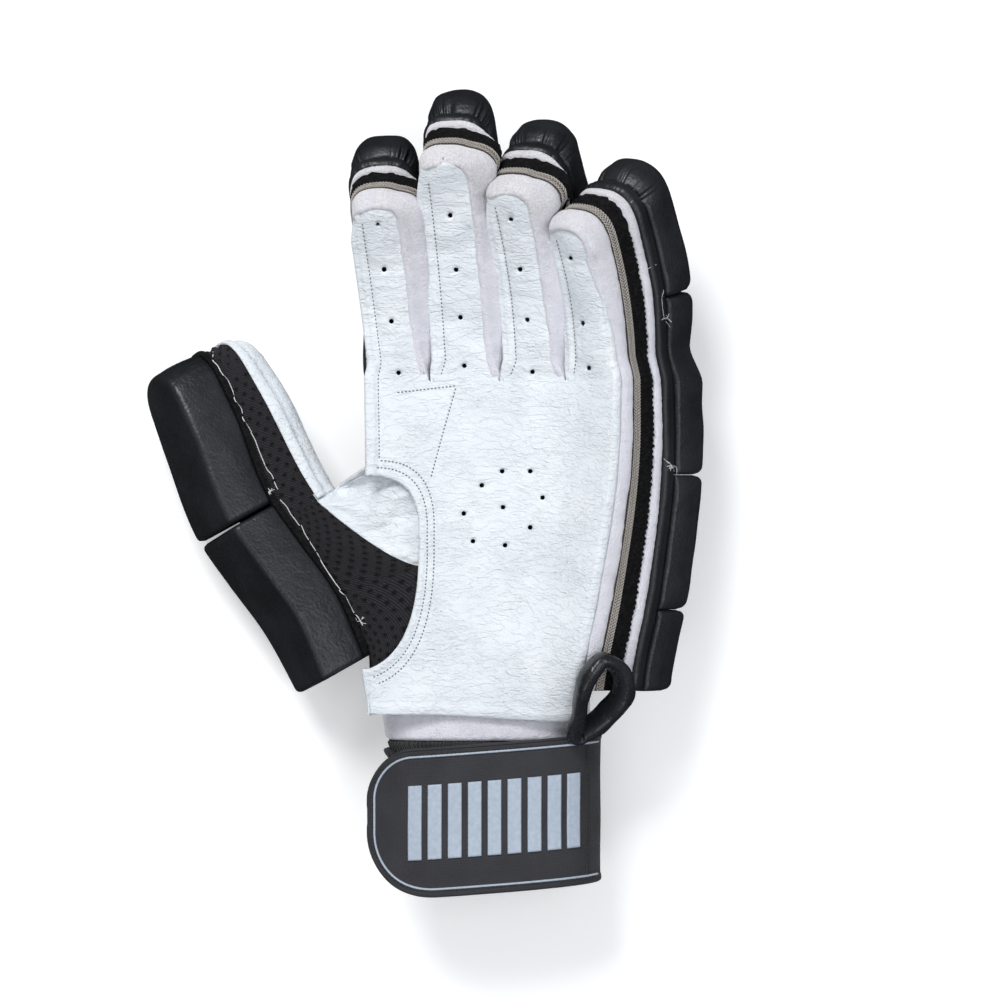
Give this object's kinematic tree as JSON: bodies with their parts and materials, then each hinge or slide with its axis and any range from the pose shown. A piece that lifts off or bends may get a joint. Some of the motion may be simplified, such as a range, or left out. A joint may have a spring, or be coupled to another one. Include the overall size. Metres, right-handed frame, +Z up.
{
  "type": "cricket batting glove",
  "caption": "Left-hand cricket batting glove lying palm up: white leather palm, towelling gussets, black foam rolls behind the fingers and thumb, strapped wrist",
  "frame": {"origin": "middle of the glove's footprint, on the surface it lies on", "axes": "+Y along the hand to the fingertips, +Z up out of the palm, -X to the thumb's side"},
  "size_m": [0.1934, 0.2822, 0.0755],
  "materials": {
    "palm_leather": "fine matt grain",
    "towelling": "fuzzy cotton",
    "braid": "silver chain knit",
    "mesh_tape": "open knit",
    "pad_cover": "soft satin",
    "thumb_mesh": "perforated knit",
    "wristband": "ribbed knit",
    "strap_cover": "satin"
  },
  "bodies": {
    "root": {"palm_leather": "palm_leather", "index_gusset": "towelling", "index_braid": "braid", "index_mesh": "mesh_tape", "index_base": "pad_cover", "index_pad_1": "pad_cover", "index_pad_2": "pad_cover", "index_pad_3": "pad_cover", "index_pad_4": "pad_cover", "index_pad_5": "pad_cover", "middle_gusset": "towelling", "middle_braid": "braid", "middle_mesh": "mesh_tape", "middle_base": "pad_cover", "middle_pad_1": "pad_cover", "middle_pad_2": "pad_cover", "middle_pad_3": "pad_cover", "middle_pad_4": "pad_cover", "middle_pad_5": "pad_cover", "ring_gusset": "towelling", "ring_braid": "braid", "ring_mesh": "mesh_tape", "ring_base": "pad_cover", "ring_pad_1": "pad_cover", "ring_pad_2": "pad_cover", "ring_pad_3": "pad_cover", "ring_pad_4": "pad_cover", "ring_pad_5": "pad_cover", "little_gusset": "towelling", "little_braid": "braid", "little_mesh": "mesh_tape", "little_base": "pad_cover", "little_pad_1": "pad_cover", "little_pad_2": "pad_cover", "little_pad_3": "pad_cover", "little_pad_4": "pad_cover", "thumb_leather": "palm_leather", "thumb_web": "palm_leather", "thumb_mesh": "thumb_mesh", "thumb_base": "pad_cover", "thumb_pad_upper": "pad_cover", "thumb_pad_lower": "pad_cover", "cuff_band": "towelling", "cuff_wristband": "wristband", "strap": "strap_cover", "pull_loop": "pad_cover"}
  },
  "joints": []
}
